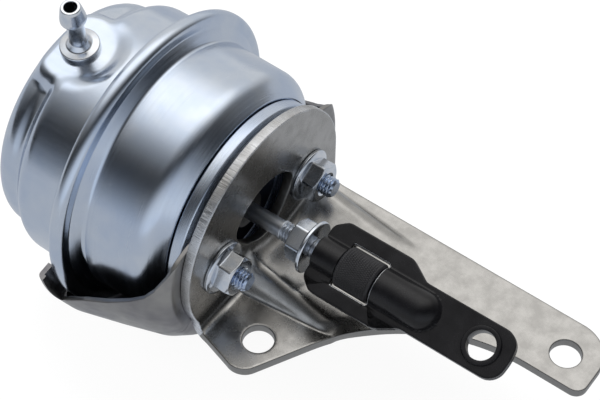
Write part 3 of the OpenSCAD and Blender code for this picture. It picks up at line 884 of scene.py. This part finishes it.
def nut_shape(sizes, length, flange):
    """A hexagon nut on a washer flange, from x = 0. At angle a the side's radius is half the flats / cos(a
    within its side); the top's chamfer starts lower where that radius is larger, which gives the curved
    edges of a real nut."""
    flats = sizes.nut_flats / MM / 2
    segments = 144
    angle = np.arange(segments) * TURN / segments
    side = flats / np.cos((angle + math.pi / 6) % (math.pi / 3) - math.pi / 6)
    side = np.minimum(side, flats * 1.135)
    top = flats * 0.95
    rows = [
        (0, STUD_R), (0, flange - 0.25), (0.25, flange), (0.95, flange), (1.2, flange - 0.25),
        (1.6, np.maximum(side, flange - 1.2)), (1.8, side), (length - (side - top) * 0.55, side),
        (length, top), (length, STUD_R + 0.7), (length - 0.6, STUD_R),
    ]
    x, r = (np.stack([np.broadcast_to(row[k], segments) for row in rows]) for k in (0, 1))
    return around(x, r, angle).reshape(-1, 3), quads(len(rows), segments, True, True)


# Operators


class ACTUATOR_OT_canister(bpy.types.Operator):
    """Make the cap, the front shell with its crimp, the nipple and the base ring"""
    bl_idname = "actuator.canister"
    bl_label = "Canister"

    def execute(self, context):
        s = context.scene.actuator_sizes
        piece("cap_skin", cap_shape(s), "canister", ["drawn_zinc"], "cap_shell")
        # the faces deep in the front shell take the near-black finish: painted shade
        shell, well_painted_shade = base_shape(s)
        piece("base_skin", shell, "canister", ["shell_zinc", "dark_well"], "base_shell",
              which=well_painted_shade)
        piece("nipple_barb", nipple_shape(s), "canister", ["nut_zinc"], "hose_nipple")
        piece("ring_turned", ring_shape(s), "canister", ["turned_zinc"], "base_ring")
        return {"FINISHED"}


class ACTUATOR_OT_bracket(bpy.types.Operator):
    """Make the bracket plate with its pressed gusset, and the cradle behind it"""
    bl_idname = "actuator.bracket"
    bl_label = "Bracket and cradle"

    def execute(self, context):
        plate, which = bracket_shape()
        piece("bracket_plate", plate, "canister",
              ["bracket_steel", "sheared_rim", "sheared_edge"], "bracket", crease=60, which=which)
        piece("cradle_wrap", cradle_shape(), "canister", ["cradle_steel"], "support_cradle")
        return {"FINISHED"}


class ACTUATOR_OT_hardware(bpy.types.Operator):
    """Make the two threaded studs and their flange nuts"""
    bl_idname = "actuator.hardware"
    bl_label = "Studs and nuts"

    def execute(self, context):
        s = context.scene.actuator_sizes
        for name, side, roll in (("near", -1, 33), ("far", 1, 58)):
            shift = np.array([0, side * STUD_Y, 0])
            points, faces = threaded(-4.0, 9.75, STUD_R, s.thread_pitch / MM, RING_BACK)
            piece(f"stud_{name}_thread", (points + shift, faces), "canister", ["stud_zinc"],
                  f"stud_{name}")
            points, faces = nut_shape(s, 6.4, 8.1)
            points = turned(points, math.radians(roll)) + shift
            piece(f"nut_{name}_hex", (points, faces), "canister", ["nut_zinc"],
                  f"flange_nut_{name}", bevel=NUT_BEVEL)
        return {"FINISHED"}


class ACTUATOR_OT_rod(bpy.types.Operator):
    """Make the rod with its long thread, and the lock nut on it"""
    bl_idname = "actuator.rod"
    bl_label = "Rod and lock nut"

    def execute(self, context):
        s = context.scene.actuator_sizes
        shank = rounded([
            (-21, 0, 0), (-21, 5, 0.3), (-19, 5, 0.3), (-19, 2.6, 0), (6.2, 2.6, 0), (6.2, 0, 0),
        ], 4)
        shape = joined(revolve(shank, 96), threaded(6.2, 50.0, 2.975, s.thread_pitch / MM))
        piece("rod_threaded", shape, "rod", ["rod_zinc"], "rod")
        points, faces = nut_shape(s, 6.6, 8.0)
        points = turned(points, math.radians(2))
        # its flange faces the link
        points[:, 0] = LOCK_NUT_FRONT - points[:, 0]
        piece("lock_nut_hex", (points, faces), "lock_nut", ["nut_zinc"], "lock_nut",
              bevel=NUT_BEVEL)
        return {"FINISHED"}


class ACTUATOR_OT_link(bpy.types.Operator):
    """Make the two pressed halves of the link, the eye's bush and the knurled adjuster"""
    bl_idname = "actuator.link"
    bl_label = "Link and adjuster"

    def execute(self, context):
        s = context.scene.actuator_sizes
        for name, side in (("upper", 1), ("lower", -1)):
            sheet, edge_highlight = link_shape(s, side)
            piece(f"link_{name}_sheet", sheet, "link", ["gloss_black", "worn_edge"],
                  f"link_{name}_half", which=edge_highlight)
        piece("eye_collar", bush_shape(s), "link", ["gloss_black"], "eye_bush")
        piece("adjuster_knurl", knurled_shape(s), "adjuster", ["matt_black"],
              "adjuster_nut", crease=60)
        return {"FINISHED"}


class ACTUATOR_OT_inner(bpy.types.Operator):
    """Give the unseen inner works their finishes"""
    bl_idname = "actuator.inner"
    bl_label = "Inner works"

    def execute(self, context):
        # the rod guide's near-black bronze paints the shade inside the canister
        finish = {"diaphragm": "rubber", "piston_cup": "inner_steel", "retainer_plate": "inner_steel",
                  "return_spring": "inner_steel", "rod_guide": "bronze"}
        for name, choice in finish.items():
            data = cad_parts[name].data
            data.materials.clear()
            data.materials.append(material(choice))
        return {"FINISHED"}


# The camera: angles, lens and place come from fitting the circles of the crimp, ring, disc,
# studs and holes to the photograph, taken as 600 x 400 pixels.
PHOTO_WIDTH = 600.0
SENSOR = 36.0
AZIMUTH = math.radians(36.1)
ELEVATION = math.radians(52.44)
FOCAL_PIXELS = 1800.0
CAMERA_AT = np.array([186.6, -239.4, 403.4])

# The sky that metal mirrors: pairs of a share of the direction along an axis and a level, given
# for a bright box overhead, a dark band behind the camera and a softer wall at the near side.
DARK_BAND_AXIS = (0.483, -0.695, -0.531)
TOP_BOX_ACROSS = ((-0.8, 1.0), (-0.7, 0.85), (-0.56, 0.62), (-0.42, 0.3), (-0.3, 0.18), (-0.12, 0.04),
                  (0.0, 0.0))
TOP_BOX_RISE = ((-0.3, 0.5), (0.0, 0.85), (0.27, 0.8), (0.56, 0.85), (0.68, 1.25), (0.78, 1.6),
                (0.9, 1.7))
NEAR_WALL = ((-0.12, 0.03), (0.1, 0.06), (0.25, 0.24), (0.36, 0.48), (0.48, 0.74), (0.62, 0.94),
             (0.85, 1.05))

# The floor's half width, and its gap under the object, in metres.
FLOOR_HALF = 1.6
FLOOR_GAP = 0.0008

# Lamps: name, place about the object's middle in metres, size in metres and power in watts.
LAMPS = (("softbox_top", (-0.15, 0.25, 0.75), 0.55, 9.0), ("softbox_left", (-0.6, -0.45, 0.45), 0.4, 3.5),
         ("softbox_right", (0.7, -0.2, 0.4), 0.35, 2.5))


def ramp(tree, value, stops):
    """A level read from stops (place, level) along a value from -1 to 1; levels over 1 are kept."""
    top = max(level for _, level in stops)
    share = add(tree, "ShaderNodeMapRange", {"Value": value}, From_Min=-1.0)
    node = add(tree, "ShaderNodeValToRGB", {"Fac": share})
    elements = node.color_ramp.elements
    while len(elements) < len(stops):
        elements.new(0.5)
    for element, (place, level) in zip(elements, stops):
        element.position = (place + 1) / 2
        element.color = (level / top, level / top, level / top, 1)
    return add(tree, "ShaderNodeMath", {0: node, 1: top}, operation="MULTIPLY")


def ray_kinds(tree):
    """1 for rays that a shiny surface sends out, and 1 for those that come from the camera or through
    something clear."""
    path = add(tree, "ShaderNodeLightPath").outputs
    direct = add(tree, "ShaderNodeMath", {0: path["Is Camera Ray"], 1: path["Is Transmission Ray"]},
                 operation="MAXIMUM")
    return path["Is Glossy Ray"], direct


def make_floor(scene, height):
    """A pale square of paper: matt under the lamps, nearly white to the camera with some shadow left, and
    plain and dimmer in reflections."""
    mesh = bpy.data.meshes.new("studio_floor")
    corners = [(x * FLOOR_HALF, y * FLOOR_HALF, height) for x, y in ((-1, -1), (1, -1), (1, 1), (-1, 1))]
    mesh.from_pydata(corners, [], [(0, 1, 2, 3)])
    floor = bpy.data.objects.new("studio_floor", mesh)
    scene.collection.objects.link(floor)
    paper, tree, _ = new_material("white_background_paper")
    glossy, direct = ray_kinds(tree)
    white_share = add(tree, "ShaderNodeMath", {0: direct, 1: 0.92}, operation="MULTIPLY")
    matt = add(tree, "ShaderNodeBsdfDiffuse", Color=(*scene.actuator_colours.floor, 1))
    glow = add(tree, "ShaderNodeEmission", Color=(1, 1, 1, 1), Strength=1.0)
    dim = add(tree, "ShaderNodeEmission", Color=(*linear("#ECEFF4"), 1), Strength=0.72)
    seen = add(tree, "ShaderNodeMixShader", {0: white_share, 1: matt, 2: glow})
    both = add(tree, "ShaderNodeMixShader", {0: glossy, 1: seen, 2: dim})
    add(tree, "ShaderNodeOutputMaterial", {"Surface": both})
    mesh.materials.append(paper)
    floor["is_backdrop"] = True


def make_sky(scene):
    """The world: white to the camera, a plain soft light on matt surfaces, and for metal a warm box
    overhead, a dark room behind the camera and a cool wall at the near side."""
    world = bpy.data.worlds.new("studio_sky")
    scene.world = world
    world.use_nodes = True
    tree = world.node_tree
    tree.nodes.clear()
    glossy, direct = ray_kinds(tree)
    sky = add(tree, "ShaderNodeTexCoord").outputs["Generated"]
    rise = add(tree, "ShaderNodeSeparateXYZ", {"Vector": sky}).outputs["Z"]
    across = add(tree, "ShaderNodeVectorMath", {0: sky, 1: DARK_BAND_AXIS},
                 operation="DOT_PRODUCT").outputs["Value"]
    box = add(tree, "ShaderNodeMath", {0: ramp(tree, across, TOP_BOX_ACROSS),
                                       1: ramp(tree, rise, TOP_BOX_RISE)}, operation="MULTIPLY")
    wall = ramp(tree, across, NEAR_WALL)
    warm = add(tree, "ShaderNodeBackground", {"Strength": box}, Color=(*linear("#FFFDFA"), 1))
    cool = add(tree, "ShaderNodeBackground", {"Strength": wall}, Color=(*linear("#E9F0FA"), 1))
    mirror = add(tree, "ShaderNodeAddShader", {0: warm, 1: cool})
    soft = add(tree, "ShaderNodeBackground", Color=(1, 1, 1, 1), Strength=0.55)
    white = add(tree, "ShaderNodeBackground", Color=(1, 1, 1, 1), Strength=1.0)
    lit = add(tree, "ShaderNodeMixShader", {0: glossy, 1: soft, 2: mirror})
    seen = add(tree, "ShaderNodeMixShader", {0: direct, 1: lit, 2: white})
    add(tree, "ShaderNodeOutputWorld", {"Surface": seen})


def make_lamps(scene, centre):
    """Three square softboxes aimed at the object's middle, which metal doesn't mirror."""
    for name, place, size, power in LAMPS:
        data = bpy.data.lights.new(name, "AREA")
        data.shape = "SQUARE"
        data.size = size
        data.energy = power
        data.specular_factor = 0.0
        lamp = bpy.data.objects.new(name, data)
        lamp.location = centre + Vector(place)
        lamp.visible_glossy = False
        lamp.rotation_mode = "QUATERNION"
        lamp.rotation_quaternion = (-Vector(place)).to_track_quat("-Z", "Y")
        scene.collection.objects.link(lamp)


def make_camera(scene):
    """The camera at the photograph's view: its three axes come from the azimuth and the elevation."""
    data = bpy.data.cameras.new("photo_camera")
    data.sensor_width = SENSOR
    data.lens = FOCAL_PIXELS * SENSOR / PHOTO_WIDTH
    data.clip_start, data.clip_end = 0.01, 20.0
    camera = bpy.data.objects.new("photo_camera", data)
    ca, sa, ce, se = math.cos(AZIMUTH), math.sin(AZIMUTH), math.cos(ELEVATION), math.sin(ELEVATION)
    axes = Matrix(((ca, sa, 0), (-sa * se, ca * se, ce), (sa * ce, -ca * ce, se)))
    camera.matrix_world = Matrix.Translation(Vector((CAMERA_AT + SEAT) * MM)) @ axes.transposed().to_4x4()
    scene.collection.objects.link(camera)
    scene.camera = camera


class ACTUATOR_OT_stage(bpy.types.Operator):
    """Make the floor, the lamps, the sky and the camera"""
    bl_idname = "actuator.stage"
    bl_label = "Stage"

    def execute(self, context):
        scene = context.scene
        low, high = (Vector(corner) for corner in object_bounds())
        make_floor(scene, low.z - FLOOR_GAP)
        make_sky(scene)
        make_lamps(scene, (low + high) / 2)
        make_camera(scene)
        scene.view_settings.view_transform = "Standard"
        return {"FINISHED"}


STEPS = (ACTUATOR_OT_canister, ACTUATOR_OT_bracket, ACTUATOR_OT_hardware, ACTUATOR_OT_rod, ACTUATOR_OT_link,
         ACTUATOR_OT_inner, ACTUATOR_OT_stage)


class ACTUATOR_PT_panel(bpy.types.Panel):
    """Lists the sizes, the colours and the steps"""
    bl_idname = "ACTUATOR_PT_panel"
    bl_label = "Turbo actuator"
    bl_space_type = "VIEW_3D"
    bl_region_type = "UI"
    bl_category = "Actuator"

    def draw(self, context):
        for group in (context.scene.actuator_sizes, context.scene.actuator_colours):
            for key in group.__annotations__:
                self.layout.prop(group, key)
        for step in STEPS:
            self.layout.operator(step.bl_idname)


CLASSES = (ActuatorSizes, ActuatorColours, *STEPS, ACTUATOR_PT_panel)


def register():
    for cls in CLASSES:
        bpy.utils.register_class(cls)
    bpy.types.Scene.actuator_sizes = PointerProperty(type=ActuatorSizes)
    bpy.types.Scene.actuator_colours = PointerProperty(type=ActuatorColours)


def unregister():
    del bpy.types.Scene.actuator_colours
    del bpy.types.Scene.actuator_sizes
    for cls in reversed(CLASSES):
        bpy.utils.unregister_class(cls)


def main():
    register()
    for step in STEPS:
        group, name = step.bl_idname.split(".")
        getattr(getattr(bpy.ops, group), name)()


if __name__ == "__main__":
    main()
